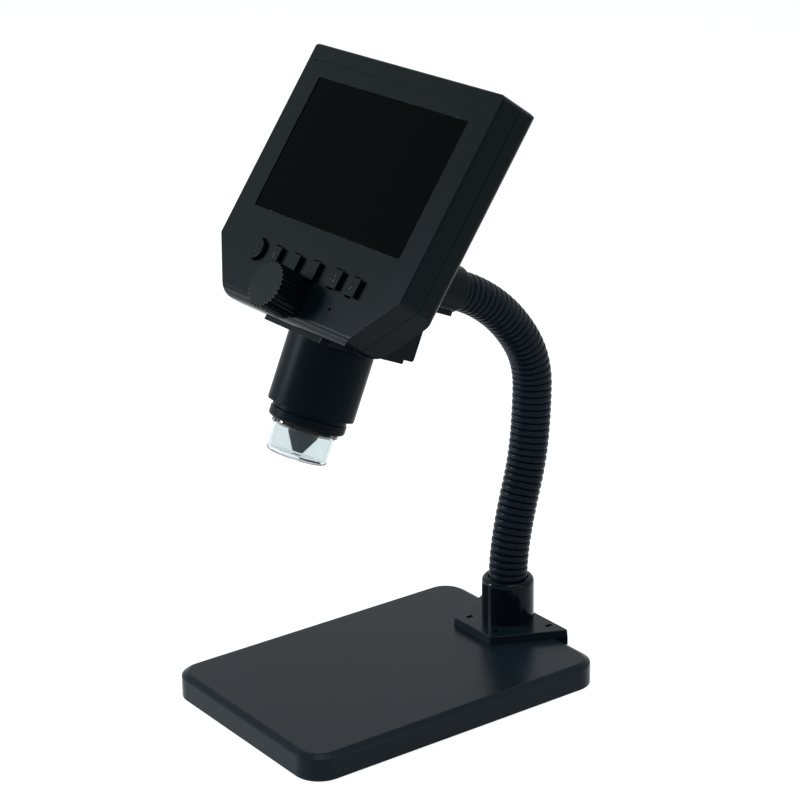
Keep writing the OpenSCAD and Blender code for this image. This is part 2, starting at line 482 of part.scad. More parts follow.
// ---------- controls ----------
// Square button: cap through the face, flange behind it, stem down to its switch
module key(i) at_head() translate([keys[i][0], keys[i][1], 0]) color("#1d1f22") {
  pad(key_w, key_w, key_c, -face_t - 0.1, key_h - 0.5);
  pad(key_w - 0.7, key_w - 0.7, key_c - 0.3, key_h - 0.6, key_h);
  rod(key_w / 2 + key_lip, -face_t - slip - key_flange, -face_t - slip, 64);
  rod(1.2, -face_t - slip - key_flange - 0.1, -face_t - slip - key_flange + eps, 32);
}
module power_button() color("#1d1f22") at_head() translate([power_at[0], power_at[1], 0]) {
  rod(power_r, -face_t - 0.1, key_h - 0.5);
  translate([0, 0, key_h - 0.5]) cylinder(r1 = power_r, r2 = power_r - 0.5, h = 0.5, $fn = 48);
  rod(power_r + 0.9, -face_t - slip - key_flange, -face_t - slip);
}
knob_ribs = 40;
module focus_knob() color("#1b1d20") at_head() translate([0, knob_v, 0.6]) difference() {
  intersection() {
    linear_extrude(knob_l) polygon([for (i = [0:knob_ribs - 1]) for (j = [0:3]) let (q = (i + [0, 0.35, 0.5, 0.85][j]) * 360 / knob_ribs,
      r = knob_r - [0, 0, 0.55, 0.55][j]) [r * cos(q), r * sin(q)]]);
    rotate_extrude($fn = 96) polygon([[0, 0], [knob_r - 0.4, 0], [knob_r + 0.1, 0.5], [knob_r + 0.1, knob_l - 0.9], [knob_r - 0.8, knob_l], [0, knob_l]]);
  }
  rotate_extrude($fn = 96) polygon([[0, knob_l - 0.5], [knob_r - 2.2, knob_l - 0.5], [knob_r - 1.8, knob_l + 1], [0, knob_l + 1]]);
  intersection() { rod(shaft_r, -1, knob_l - 3, 64); span([-5, 5], [-5, 1.5], [-1, 20]); }
}
// Involute-like pinion tooth: half thickness at each radius
gear_prof = [[2.1, 0.5], [2.5, 0.51], [2.8, 0.46], [3.0, 0.39], [3.25, 0.28], [3.5, 0.16]];
module knob_shaft() color("#9da1a6") at_head() translate([0, knob_v, 0]) {
  rod(shaft_r, pinion_n[1] - eps, 0.6 + eps, 64);
  intersection() { rod(shaft_r, 0.6, knob_l - 2.4, 64); span([-5, 5], [-5, 1.5], [0, 20]); }
  translate([0, 0, pinion_n[0]]) linear_extrude(pinion_n[1] - pinion_n[0]) polygon([for (k = [0:gear_z - 1]) let (o = (k + 0.5) * 360 / gear_z)
    each concat([for (g = gear_prof) turn([g[0], -g[1]], o)], [for (i = [5:-1:0]) turn([gear_prof[i][0], gear_prof[i][1]], o)])]);
}
module shaft_clip() color("#9da1a6") at_head() translate([0, knob_v, 0]) difference() { rod(3.4, -7.9, -7.2); rod(shaft_r, -9, 0, 64); span([-1, 1], [0, 9], [-9, 0]); }

// ---------- tree ----------
base_shell();
base_weight();
base_bottom_plate();
base_screws();
non_slip_sheet();
neck_foot();
foot_screws();
socket_screw();
sleeve(0);  // sleeve_1
sleeve(1);  // sleeve_2
sleeve(2);  // sleeve_3
sleeve(3);  // sleeve_4
sleeve(4);  // sleeve_5
sleeve(5);  // sleeve_6
sleeve(6);  // sleeve_7
core(0);  // core_1
core(1);  // core_2
core(2);  // core_3
core(3);  // core_4
core(4);  // core_5
core(5);  // core_6
core(6);  // core_7
neck_collar();
collar_screws();
swivel_stub();
front_shell();
rear_shell();
shell_screws();
screen_glass();
lcd_panel();
main_board();
board_screws();
button_board();
battery();
usb_socket();
card_socket();
barrel_housing();
housing_screws();
back_cover();
cover_screws();
barrel_tube();
end_ring();
lens_hood();
led_board();
leds();
clear_cap();
lens_carrier();
focus_rack();
lens();
sensor_board();
power_button();
key(0);  // button_1
key(1);  // button_2
key(2);  // button_3
key(3);  // button_4
key(4);  // button_5
focus_knob();
knob_shaft();
shaft_clip();
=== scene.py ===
import bpy, bmesh
from math import pi, sin, cos, radians, atan2, hypot
from mathutils import Matrix, Vector


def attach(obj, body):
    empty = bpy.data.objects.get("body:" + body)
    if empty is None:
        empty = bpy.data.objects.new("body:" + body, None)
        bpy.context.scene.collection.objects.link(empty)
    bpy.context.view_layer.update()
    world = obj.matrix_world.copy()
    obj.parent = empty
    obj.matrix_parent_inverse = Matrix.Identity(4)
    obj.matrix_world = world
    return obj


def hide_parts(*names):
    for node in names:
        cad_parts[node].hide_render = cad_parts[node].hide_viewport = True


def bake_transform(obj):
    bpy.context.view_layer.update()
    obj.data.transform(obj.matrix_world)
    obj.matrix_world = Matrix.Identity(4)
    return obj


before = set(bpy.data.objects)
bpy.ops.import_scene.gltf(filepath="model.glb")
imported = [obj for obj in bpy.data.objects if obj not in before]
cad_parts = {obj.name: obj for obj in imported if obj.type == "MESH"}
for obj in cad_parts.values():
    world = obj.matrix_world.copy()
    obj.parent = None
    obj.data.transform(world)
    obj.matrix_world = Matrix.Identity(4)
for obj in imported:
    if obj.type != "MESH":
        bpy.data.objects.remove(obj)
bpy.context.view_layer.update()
scene = bpy.context.scene
scene.view_settings.view_transform = "Standard"
MM = 0.001

# ------------------------------------------------------------------ camera
# A long lens from the front right, a little above the head, as on a product table.
cam_data = bpy.data.cameras.new("camera")
cam_data.sensor_width = 36
cam_data.lens = 109.55
cam_data.clip_start, cam_data.clip_end = 0.01, 20
camera = bpy.data.objects.new("camera", cam_data)
scene.collection.objects.link(camera)
camera.matrix_world = Matrix(((0.591158, -0.26838, 0.760588, 0.755288),
                              (0.806423, 0.213719, -0.55137, -0.537604),
                              (-0.014573, 0.939308, 0.342766, 0.466988),
                              (0, 0, 0, 1)))
scene.camera = camera


# ------------------------------------------------------------------ studio
# A white table in a white room. The main lamp stands at the front left, so the knob throws its
# shadow to the right. A broad lamp hangs above, one stands at the right behind the object, and
# a weak one low at the left lights the chin of the head.
class Num:
    """A shader value, so that sums on it add Math nodes."""
    def __init__(self, tree, socket):
        self.tree, self.socket = tree, socket

    def math(self, op, *others):
        node = self.tree.nodes.new("ShaderNodeMath")
        node.operation = op
        for entry, value in zip(node.inputs, (self,) + others):
            if isinstance(value, Num):
                self.tree.links.new(value.socket, entry)
            else:
                entry.default_value = value
        return Num(self.tree, node.outputs[0])

    def __add__(self, o): return self.math("ADD", o)
    def __sub__(self, o): return self.math("SUBTRACT", o)
    def __mul__(self, o): return self.math("MULTIPLY", o)
    def __truediv__(self, o): return self.math("DIVIDE", o)
    def clip(self): return self.math("MINIMUM", 1.0).math("MAXIMUM", 0.0)

    def above(self, edge, soft):
        """1 above the edge and 0 below it, with a slope of this width between them."""
        return ((self - edge) / soft + 0.5).clip()


class Finish:
    """A new material with one Principled shader and a way to add nodes to it."""
    def __init__(self, name, **settings):
        self.mat = bpy.data.materials.new(name)
        self.mat.use_nodes = True
        self.tree = self.mat.node_tree
        self.shader = self.tree.nodes["Principled BSDF"]
        for key, value in settings.items():
            self.shader.inputs[key.replace("_", " ")].default_value = value

    def node(self, kind, out=0, settings={}, **inputs):
        """Adds a node. An input is given by its name, or by its number as i0, i1 and so on."""
        n = self.tree.nodes.new("ShaderNode" + kind)
        for key, value in settings.items():
            setattr(n, key, value)
        for key, value in inputs.items():
            numbered = key[0] == "i" and key[1:].isdigit()
            entry = n.inputs[int(key[1:]) if numbered else key.replace("_", " ")]
            if isinstance(value, Num):
                self.tree.links.new(value.socket, entry)
            else:
                entry.default_value = value
        return Num(self.tree, n.outputs[out])

    def link(self, value, socket):
        self.tree.links.new(value.socket, self.shader.inputs[socket])

    def place(self):
        """Object coordinates, moved off the origin, where a fine noise shows specks."""
        object_place, away = self.node("TexCoord", out="Object"), (0.37, 0.23, 0.11)
        return self.node("VectorMath", i0=object_place, i1=away)

    def noise(self, scale, detail=3, rough=0.5):
        return self.node("TexNoise", Vector=self.place(), Scale=scale, Detail=detail, Roughness=rough)

    def mix(self, share, first, second):
        return self.node("Mix", out=2, settings=dict(data_type="RGBA"), i0=share, i6=first, i7=second)

    def bump(self, height, strength, distance):
        bumped = self.node("Bump", Height=height, Strength=strength, Distance=distance)
        self.link(bumped, "Normal")


def dress(finish, *pieces):
    """Gives the finish to new pieces, and to CAD pieces by their names."""
    for piece in pieces:
        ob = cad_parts[piece] if isinstance(piece, str) else piece
        ob.data.materials.clear()
        ob.data.materials.append(finish.mat)


def white_to_eye(tree, lit, flat):
    """Mixes in the flat white for what the camera, a gloss or a clear piece looks at."""
    paths = tree.nodes.new("ShaderNodeLightPath")
    seen = Num(tree, paths.outputs["Is Camera Ray"])
    for ray in ("Is Glossy Ray", "Is Transmission Ray"):
        seen = seen + Num(tree, paths.outputs[ray])
    pick = tree.nodes.new("ShaderNodeMixShader")
    tree.links.new(seen.clip().socket, pick.inputs[0])
    tree.links.new(lit, pick.inputs[1])
    tree.links.new(flat, pick.inputs[2])
    return pick.outputs[0]


world = bpy.data.worlds.new("white room")
world.use_nodes = True
scene.world = world
room = world.node_tree
light = room.nodes["Background"]
light.inputs["Color"].default_value = (0.9, 0.96, 1, 1)
light.inputs["Strength"].default_value = 0.3
backdrop = room.nodes.new("ShaderNodeBackground")
backdrop.inputs["Color"].default_value = (1, 1, 1, 1)
room.links.new(white_to_eye(room, light.outputs[0], backdrop.outputs[0]),
               room.nodes["World Output"].inputs["Surface"])


def lamp(name, at, aim, size, watts):
    """A pale blue area lamp that the camera doesn't see."""
    data = bpy.data.lights.new(name, "AREA")
    data.shape, data.size, data.size_y, data.energy = "RECTANGLE", size[0], size[1], watts
    data.color = (0.9, 0.97, 1.0)
    ob = bpy.data.objects.new(name, data)
    scene.collection.objects.link(ob)
    ob.location = at
    ob.visible_camera = False
    ob.rotation_euler = (Vector(aim) - Vector(at)).to_track_quat("-Z", "Y").to_euler()


lamp("main lamp", (-0.79, -0.95, 0.61), (0, 0, 0.19), (0.3, 0.3), 14)
lamp("lamp above", (0.15, 0.05, 1.2), (0, 0, 0.1), (0.7, 0.7), 5)
lamp("lamp low", (-0.62, -0.5, 0.06), (0, -0.06, 0.15), (0.5, 0.12), 0.55)
lamp("lamp right", (1.1, 0.6, 0.7), (0, 0, 0.15), (0.35, 0.7), 2.6)

bpy.ops.object.select_all(action="DESELECT")
bpy.ops.mesh.primitive_plane_add(size=8, location=(0, 0, -0.0002))
floor = bpy.context.object
floor.name = "table_top"
PALE = Finish("white table", Base_Color=(0.85, 0.87, 0.88, 1), Roughness=0.7)
glow = PALE.tree.nodes.new("ShaderNodeEmission")
glow.inputs["Color"].default_value, glow.inputs["Strength"].default_value = (1, 1, 1, 1), 0.8
matt = PALE.tree.nodes.new("ShaderNodeBsdfDiffuse")
matt.inputs["Color"].default_value = (0.5, 0.5, 0.5, 1)
both = PALE.tree.nodes.new("ShaderNodeAddShader")
PALE.tree.links.new(glow.outputs[0], both.inputs[0])
PALE.tree.links.new(matt.outputs[0], both.inputs[1])
PALE.tree.links.new(white_to_eye(PALE.tree, PALE.shader.outputs[0], both.outputs[0]),
                    PALE.tree.nodes["Material Output"].inputs["Surface"])
dress(PALE, floor)


# ------------------------------------------------------------------ base cover
# The base is one injection-moulded black cover, open below, 105 x 147.4 mm, with a soft
# rounded rim. It is screwed from below over a cast weight and stands on a rubber sheet.
def shades(colour, down, up):
    """The darker and the lighter shade of a colour, as shader values."""
    return tuple(c * down for c in colour) + (1,), tuple(min(1, c * up) for c in colour) + (1,)


def worked(name, colour, rough, metal=0.0, scale=900, depth=0.00003, **more):
    """Metal, rubber or board: a fine uneven surface whose shade and gloss drift a little."""
    f = Finish(name, Metallic=metal, **more)
    coarse, fine = f.noise(60, 3) - 0.5, f.noise(scale, 3, 0.6)
    uneven = fine - 0.5
    f.link(f.mix(coarse * 1.2 + uneven * 0.8 + 0.5, *shades(colour, 0.72, 1.22)), "Base Color")
    f.link(coarse * 0.2 + uneven * 0.2 + rough, "Roughness")
    f.bump(fine, 0.35, depth)
    return f


def satin(name, colour, rough, grain=9000, depth=0.00002, strength=0.12, spread=0.05, shine=0.05):
    """Moulded plastic: a fine spark-eroded grain, slow drifts of shade and gloss, and a little
    haze from handling."""
    f = Finish(name, Specular_IOR_Level=shine, Specular_Tint=(0.8, 0.95, 1.0, 1))
    drift, fine, haze = f.noise(22, 2) - 0.5, f.noise(grain, 2, 0.6), f.noise(70, 4, 0.6) - 0.5
    tone = drift * 1.4 + 0.5 + (fine - 0.5) * 0.35
    f.link(f.mix(tone, *shades(colour, 0.86, 1.16)), "Base Color")
    f.link(drift * spread + haze * spread + rough, "Roughness")
    f.bump(fine, strength, depth)
    return f


def leave_edit():
    if bpy.context.mode != "OBJECT":
        bpy.ops.object.mode_set(mode="OBJECT")


def only(*pieces):
    """Selects these objects alone, with the first as the active one."""
    leave_edit()
    bpy.ops.object.select_all(action="DESELECT")
    for ob in pieces:
        ob.select_set(True)
    bpy.context.view_layer.objects.active = pieces[0]


def begin(kind, **where):
    """Adds a primitive with nothing else selected and opens it for editing."""
    leave_edit()
    bpy.ops.object.select_all(action="DESELECT")
    getattr(bpy.ops.mesh, "primitive_" + kind + "_add")(**where)
    bpy.ops.object.mode_set(mode="EDIT")
    return bpy.context.object


def take_all(kind="FACE"):
    bpy.ops.mesh.select_mode(type=kind)
    bpy.ops.mesh.select_all(action="SELECT")


def pick_out(ob, kind, test):
    """Selects only the vertices or edges that pass the test of their middle and themselves."""
    bpy.ops.mesh.select_all(action="DESELECT")
    bpy.ops.mesh.select_mode(type=kind)
    bm = bmesh.from_edit_mesh(ob.data)
    for part in bm.verts if kind == "VERT" else bm.edges:
        middle = part.co if kind == "VERT" else (part.verts[0].co + part.verts[1].co) / 2
        if test(middle, part):
            part.select_set(True)
    bm.select_flush_mode()
    bmesh.update_edit_mesh(ob.data)


def lies_at(edge, z):
    return all(abs(v.co.z - z) < 1e-6 for v in edge.verts)


def move(x, y, z):
    bpy.ops.transform.translate(value=(x, y, z))


def scale(x, y, z, **about):
    bpy.ops.transform.resize(value=(x, y, z), **about)


def extrude(x, y, z):
    bpy.ops.mesh.extrude_region_move(TRANSFORM_OT_translate={"value": (x, y, z)})


def bevel(width, segments=3, affect="EDGES"):
    bpy.ops.mesh.bevel(offset=width, segments=segments, affect=affect)


def outward():
    take_all()
    bpy.ops.mesh.normals_make_consistent(inside=False)


def apply(ob, kind, **settings):
    """Adds a modifier and applies it."""
    only(ob)
    m = ob.modifiers.new(kind.lower(), kind)
    for key, value in settings.items():
        setattr(m, key, value)
    bpy.ops.object.modifier_apply(modifier=m.name)
    return ob


def shaped(ob, name, body, node, finish, place=None, smooth=35):
    """Closes the edit, names the piece, puts it in its place, shades it and puts it on its body
    instead of the CAD piece. The turns between flats stay sharp above the angle smooth."""
    only(ob)
    ob.name = ob.data.name = name
    bpy.ops.object.transform_apply(location=True, rotation=True, scale=True)
    if place:
        ob.data.transform(place)
    if smooth:
        bpy.ops.object.shade_smooth_by_angle(angle=radians(smooth))
        apply(ob, "WEIGHTED_NORMAL", keep_sharp=True, weight=80)
    dress(finish, ob)
    if body:
        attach(ob, body)
        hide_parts(node)
    return ob


BASE_W, BASE_L, BASE_H, BASE_R = 0.105, 0.1474, 0.0109, 0.0115
BASE_LOW, BASE_WALL = 0.0002, 0.0022
RIM_W, RIM_H = 0.0028, 0.0016
cover = begin("plane", size=1, location=(0, 0, BASE_H))
scale(BASE_W, BASE_L, 1)
bevel(BASE_R, 14, "VERTICES")
take_all()
bpy.ops.mesh.inset(thickness=RIM_W, depth=0)
pick_out(cover, "VERT", lambda c, v: v.is_boundary)
move(0, 0, -RIM_H)
pick_out(cover, "EDGE", lambda c, e: e.is_boundary)
extrude(0, 0, RIM_H + BASE_LOW - BASE_H)
pick_out(cover, "EDGE", lambda c, e: lies_at(e, -RIM_H) and not e.is_boundary)
bevel(0.0005)
pick_out(cover, "EDGE", lambda c, e: lies_at(e, 0) and len(e.link_faces) == 2)
bevel(0.0004)
apply(cover, "SOLIDIFY", thickness=BASE_WALL, offset=-1, use_even_offset=True)
apply(cover, "WEIGHTED_NORMAL", keep_sharp=True, weight=80)
BASE_PLASTIC = satin("base plastic", (0.0062, 0.0112, 0.0162), 0.26, grain=5200, depth=0.00003, shine=0.09)
shaped(cover, "base_cover", "base", "base_shell", BASE_PLASTIC, smooth=None)
dress(worked("rough cast weight", (0.11, 0.112, 0.115), 0.62, 1.0, 700, 0.0001), "base_weight")
dress(worked("black painted sheet", (0.018, 0.019, 0.02), 0.5, 0.0, 2600, 0.00002), "base_bottom_plate")
RUBBER = worked("rubber sheet", (0.012, 0.012, 0.013), 0.85, 0.0, 3400, 0.00008, Specular_IOR_Level=0.2)
dress(RUBBER, "non_slip_sheet")
SCREW = worked("black zinc screws", (0.07, 0.072, 0.076), 0.34, 1.0, 5000, 0.00001)
dress(SCREW, "base_screws")


# ------------------------------------------------------------------ neck foot
# The gooseneck stands in a glossy black moulding: a flat plate that widens to the rear, with
# four slots and a skirt behind the base, and a round socket. Four screws come up into it from
# the base.
NECK_Y = 0.0652
FOOT_LO, FOOT_HI = BASE_H, 0.0144


def draw(points):
    """A line through the points, drawn by extruding one vertex from point to point."""
    ob = begin("plane", size=0.001, location=(0, 0, 0))
    take_all("VERT")
    bpy.ops.mesh.merge(type="CENTER")
    move(*points[0])
    for start, end in zip(points, points[1:]):
        extrude(*(q - p for p, q in zip(start, end)))
    take_all("VERT")
    return ob


def spun(outline, steps=96):
    """A round piece: its closed outline of (radius, height) in millimetres, spun about Z."""
    ob = draw([(r * MM, 0, z * MM) for r, z in outline])
    bpy.ops.mesh.spin(steps=steps, angle=2 * pi, center=(0, 0, 0), axis=(0, 0, 1))
    take_all("VERT")
    bpy.ops.mesh.remove_doubles(threshold=0.000004)
    bpy.ops.mesh.normals_make_consistent(inside=False)
    return ob


def arc(cx, cz, r, a, b, n=6):
    """Points of a circular arc in an outline, from angle a to angle b in degrees."""
    turns = [radians(a + (b - a) * i / n) for i in range(n + 1)]
    return [(cx + r * cos(q), cz + r * sin(q)) for q in turns]


def joined(first, *others):
    only(first, *others)
    bpy.ops.object.join()
    return first


def cut(ob, tool):
    """Takes the tool's shape out of the piece and deletes the tool."""
    apply(ob, "BOOLEAN", object=tool, operation="DIFFERENCE", solver="EXACT")
    bpy.data.objects.remove(tool)
    return ob


# Outlines in millimetres: the plate's (x, y) from the neck's middle, and the skirt's (y, z).
PLATE = [(-12.9, -19.9), (12.9, -19.9), (27.6, 11.2), (-27.6, 11.2)]
plate = draw([(x * MM, y * MM, FOOT_LO) for x, y in PLATE])
bpy.ops.mesh.edge_face_add()
pick_out(plate, "VERT", lambda c, v: abs(c.x) < 0.02)
bevel(0.0006, 4, "VERTICES")
pick_out(plate, "VERT", lambda c, v: abs(c.y - 0.0112) < 1e-5)
bevel(0.0007, 4, "VERTICES")
take_all()
extrude(0, 0, FOOT_HI - FOOT_LO)
scale(0.985, 0.985, 1, center_override=(0, 0.0112, FOOT_HI))
pick_out(plate, "EDGE", lambda c, e: lies_at(e, FOOT_HI))
bevel(0.0003)
outward()
move(0, NECK_Y, 0)

SLOT_W, SLOT_L, SLOT_DEEP = 0.0019, 0.0031, 0.0018
slots = []
for x, y in ((-9.2, -13.8), (9.2, -13.8), (-18.8, 7.4), (18.8, 7.4)):
    slot = begin("cube", size=1, location=(x * MM, NECK_Y + y * MM, FOOT_HI))
    scale(SLOT_W, SLOT_L, 2 * SLOT_DEEP)
    pick_out(slot, "EDGE", lambda c, e: abs(e.verts[0].co.z - e.verts[1].co.z) > SLOT_DEEP)
    bevel(0.0003)
    slots.append(slot)
cut(plate, joined(*slots))

SKIRT = [(5.8, 10.95), (8.55, 9.35), (8.55, 7), (11.2, 7), (11.2, 11.2), (5.8, 11.2)]
skirt = draw([(-1, NECK_Y + y * MM, z * MM) for y, z in SKIRT])
bpy.ops.mesh.edge_face_add()
extrude(2, 0, 0)
for y in sorted({y * MM for y, z in SKIRT}):
    half_width = 0.0231 + (y - 0.006) * 0.84
    pick_out(skirt, "VERT", lambda c, v: abs(c.y - NECK_Y - y) < 1e-6)
    scale(half_width, 1, 1, center_override=(0, 0, 0))
outward()
pick_out(skirt, "EDGE", lambda c, e: c.y > NECK_Y + 0.0111 and c.z < 0.0111)
bevel(0.0004)

GLOSS = Finish("gloss black moulding", Base_Color=(0.0022, 0.0046, 0.0075, 1), Roughness=0.1,
               Specular_IOR_Level=0.085, Specular_Tint=(0.8, 0.95, 1.0, 1))
wave = GLOSS.noise(60, 2)
GLOSS.link(wave * 0.1 + GLOSS.noise(900, 3) * 0.06 + 0.03, "Roughness")
GLOSS.bump(wave, 0.08, 0.0002)
SOCKET = ([(11.3, 10.95), (11.3, 31.3)] + arc(9.1, 31.3, 2.2, 0, 80, 10)[1:]
          + [(8.9, 33.5), (8.5, 33.2), (8.46, 22), (6.6, 22), (6.6, 10.95), (11.3, 10.95)])
shaped(spun(SOCKET), "foot_socket", "base", "neck_foot", GLOSS,
       Matrix.Translation((0, NECK_Y, 0)))
FOOT_PLASTIC = satin("foot plate plastic", (0.0052, 0.0096, 0.014), 0.2, grain=5200, strength=0.1,
                     spread=0.06, shine=0.09)
shaped(joined(plate, skirt), "foot_plate", "base", "neck_foot", FOOT_PLASTIC)
dress(SCREW, "foot_screws", "socket_screw")


# ------------------------------------------------------------------ gooseneck
# A wound steel core in one ribbed black sleeve. It keeps the curve it was last bent to:
# seven lengths of 22.2 mm, each with its own bend in degrees, from the socket to the collar.
LINK, BENDS = 0.0222, (11.2, 5, -10.1, -5.1, -31.91, -18.3, -17.61)
NECK_Z, SLEEVE_R, SLEEVE_BORE, RIB = 0.030, 0.0084, 0.0066, LINK / 7.5


def neck_point(s):
    """Where the neck's middle line is at a distance s from its start, and how far it leans."""
    y, z, lean = NECK_Y, NECK_Z, 0.0
    if s < 0:
        return y, z + s, 0.0
    for bend in BENDS:
        step = min(s, LINK)
        r, q = LINK / radians(bend), radians(bend) * step / LINK
        y, z = (y + r * sin(q) * sin(lean) + r * (1 - cos(q)) * cos(lean),
                z + r * sin(q) * cos(lean) - r * (1 - cos(q)) * sin(lean))
        lean += q
        s -= step
        if s <= 0:
            return y, z, lean
    return y + s * sin(lean), z + s * cos(lean), lean


def sleeve(low, high):
    """One length of the sleeve, drawn straight as a turned tube with rounded ribs, then bent."""
    groove, crown = 0.00095, 0.00012
    outline, steps = [], max(2, round((high - low) / RIB * 12))
    for i in range(steps + 1):
        s = low + (high - low) * i / steps
        t = abs((s / RIB) % 1 * 2 - 1)
        outline.append(((SLEEVE_R - groove * t ** 5 - crown * t * t) / MM, s / MM))
    ob = spun(outline + [(SLEEVE_BORE / MM, high / MM), (SLEEVE_BORE / MM, low / MM), outline[0]], 44)
    leave_edit()
    for v in ob.data.vertices:
        y, z, lean = neck_point(v.co.z)
        v.co = Vector((v.co.x, y + v.co.y * cos(lean), z - v.co.y * sin(lean)))
    return ob


# A piece runs from the middle of one length to the middle of the next, so that each joint lies
# in the middle of a piece, and the pieces meet where the neck is rigid.
SLEEVE = satin("sleeve vinyl", (0.0056, 0.0096, 0.0155), 0.28, grain=3000, depth=0.00004,
               strength=0.2, spread=0.1, shine=0.06)
OVERLAP, BEND_ZONE = 0.006, 0.007                           # into socket and collar; round a joint
links = ["base"] + ["neck_link_%d" % k for k in range(2, 7)] + ["neck_end"]
marks = [-OVERLAP] + [LINK * (k + 0.5) for k in range(7)] + [LINK * 7 + OVERLAP]
for k in range(8):
    piece = sleeve(marks[k], marks[k + 1])
    shaped(piece, "sleeve_length_%d" % (k + 1), None, None, SLEEVE, smooth=40)
    if k in (0, 7):
        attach(piece, links[0 if k == 0 else 6])
    else:
        ends = [neck_point(LINK * k + d) for d in (-BEND_ZONE, BEND_ZONE)]
        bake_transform(piece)
    if k < 7:
        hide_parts("sleeve_%d" % (k + 1))
CORE = worked("wound steel core", (0.3, 0.305, 0.315), 0.33, 1.0, 420, 0.0001)
dress(CORE, *["core_%d" % k for k in range(1, 8)])


# ------------------------------------------------------------------ collar
# A short black turned collar holds the neck's end behind the head. The head turns on a steel
# stub inside it, and two grub screws in the flat lug under it clamp the stub and the neck.
BARREL_LEAN, HEAD_LEAN = -23.18, 78.25
BARREL = Matrix.Translation((0, -0.0262, 0.15201)) @ Matrix.Rotation(radians(BARREL_LEAN), 4, "X")
HEAD = (BARREL @ Matrix.Translation((0, -0.01463, 0.07674))
        @ Matrix.Rotation(radians(HEAD_LEAN), 4, "X"))
BACKWARDS = BARREL @ Matrix.Translation((0, 0, 0.040)) @ Matrix.Rotation(-pi / 2, 4, "X")
COLLAR_PLASTIC = satin("collar plastic", (0.0035, 0.0062, 0.0086), 0.3, grain=5200, depth=0.00003,
                       strength=0.2, shine=0.07)


def bored(ob):
    """Drills the two holes of the grub screws, from below."""
    for w in (0.034, 0.0445):
        drill = begin("cylinder", radius=0.00152, depth=0.01, vertices=32,
                      location=(0, 0.0125, w), rotation=(pi / 2, 0, 0))
        cut(ob, drill)
    return ob


COLLAR = ([(4.2, 25.3), (9.5, 25.3), (9.9, 25.7)] + arc(8.9, 51, 1, 0, 90)
          + [(8.45, 51.8), (8.45, 46.5), (6, 46.5), (6, 42), (4.2, 42), (4.2, 25.3)])
tube = bored(spun(COLLAR))
LUG_W, LUG_H, LUG_L = 0.008, 0.002, 0.0222
lug = begin("cube", size=1, location=(0, 0.0098, 0.0402))
scale(LUG_W, LUG_H, LUG_L)
shaped(joined(tube, bored(lug)), "collar", "neck_end", "neck_collar", COLLAR_PLASTIC,
       BACKWARDS)
STEEL = worked("bright steel", (0.42, 0.43, 0.44), 0.3, 1.0, 1200, 0.00002)
dress(SCREW, "collar_screws")
dress(STEEL, "swivel_stub")


# ------------------------------------------------------------------ head shells
# Two black mouldings meet at a seam half way round the head: a front one with the window,
# the button holes and a big rounded chin, and a rear one. Four screws join them from behind.
# The middles of the buttons on the face, in millimetres from the head's own origin.
KEYS_AT, POWER_AT = [(-20.2, -45), (-7, -45.2), (6, -45), (21.2, -44.8), (33.3, -45.2)], (-32.4, -45)
KEY_GAP, POWER_GAP = 8.95 / 8.4, 5.0 / 4.65                 # how much wider the holes are made


def finished(node, name, body, finish, edge=0.0003, segments=3, reshape=None):
    """A copy of the CAD solid of a moulding, with its flats made whole and its edges eased."""
    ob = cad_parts[node].copy()
    ob.data = ob.data.copy()
    for key in list(ob.keys()):
        del ob[key]
    ob.parent = None
    ob.matrix_world = Matrix.Identity(4)
    scene.collection.objects.link(ob)
    ob.hide_render = ob.hide_viewport = False
    only(ob)
    bpy.ops.object.mode_set(mode="EDIT")
    take_all("VERT")
    bpy.ops.mesh.remove_doubles(threshold=0.000005)
    bpy.ops.mesh.dissolve_limited(angle_limit=radians(1.5))
    if reshape:
        reshape(ob)
    apply(ob, "BEVEL", width=edge, segments=segments, limit_method="ANGLE",
          angle_limit=radians(24), harden_normals=False)
    bpy.ops.object.shade_smooth_by_angle(angle=radians(32))
    apply(ob, "WEIGHTED_NORMAL", keep_sharp=True, weight=90)
    return shaped(ob, name, body, node, finish, smooth=None)


def in_head(ob, change):
    """Moves each vertex of the open mesh by a change made to it in the head's own frame."""
    bm = bmesh.from_edit_mesh(ob.data)
    to_head = HEAD.inverted()
    for v in bm.verts:
        h = to_head @ v.co
        change(h)
        v.co = HEAD @ h
    bmesh.update_edit_mesh(ob.data)


def front_details(ob):
    """Rounds the chin finely, and widens the dark gaps round the buttons."""
    chin_v, chin_r = -0.0626, 0.0045
    for q in range(6, 90, 6):
        bpy.ops.mesh.select_all(action="SELECT")
        bpy.ops.mesh.bisect(plane_co=HEAD @ Vector((0, chin_v - chin_r * sin(radians(q)), 0)),
                            plane_no=HEAD.to_3x3() @ Vector((0, 1, 0)))
    holes = [(x * MM, y * MM, 0.0044, KEY_GAP) for x, y in KEYS_AT]
    holes.append((POWER_AT[0] * MM, POWER_AT[1] * MM, 0.0048, POWER_GAP))

    def change(h):
        out = hypot(h.y - chin_v, h.z + chin_r)
        if h.y < chin_v and h.z > -chin_r and abs(out - chin_r) < 0.0002:
            h.y = chin_v + (h.y - chin_v) * chin_r / out
            h.z = -chin_r + (h.z + chin_r) * chin_r / out
        for x, y, reach, grow in holes:
            if h.z > -0.002 and abs(h.x - x) < reach and abs(h.y - y) < reach:
                h.x, h.y = x + (h.x - x) * grow, y + (h.y - y) * grow

    in_head(ob, change)


HEAD_PLASTIC = satin("head plastic", (0.0020, 0.0046, 0.0060), 0.22, grain=6500, strength=0.14, shine=0.07)
finished("front_shell", "front_moulding", "head", HEAD_PLASTIC, reshape=front_details)
finished("rear_shell", "rear_moulding", "head", HEAD_PLASTIC)
dress(SCREW, "shell_screws")


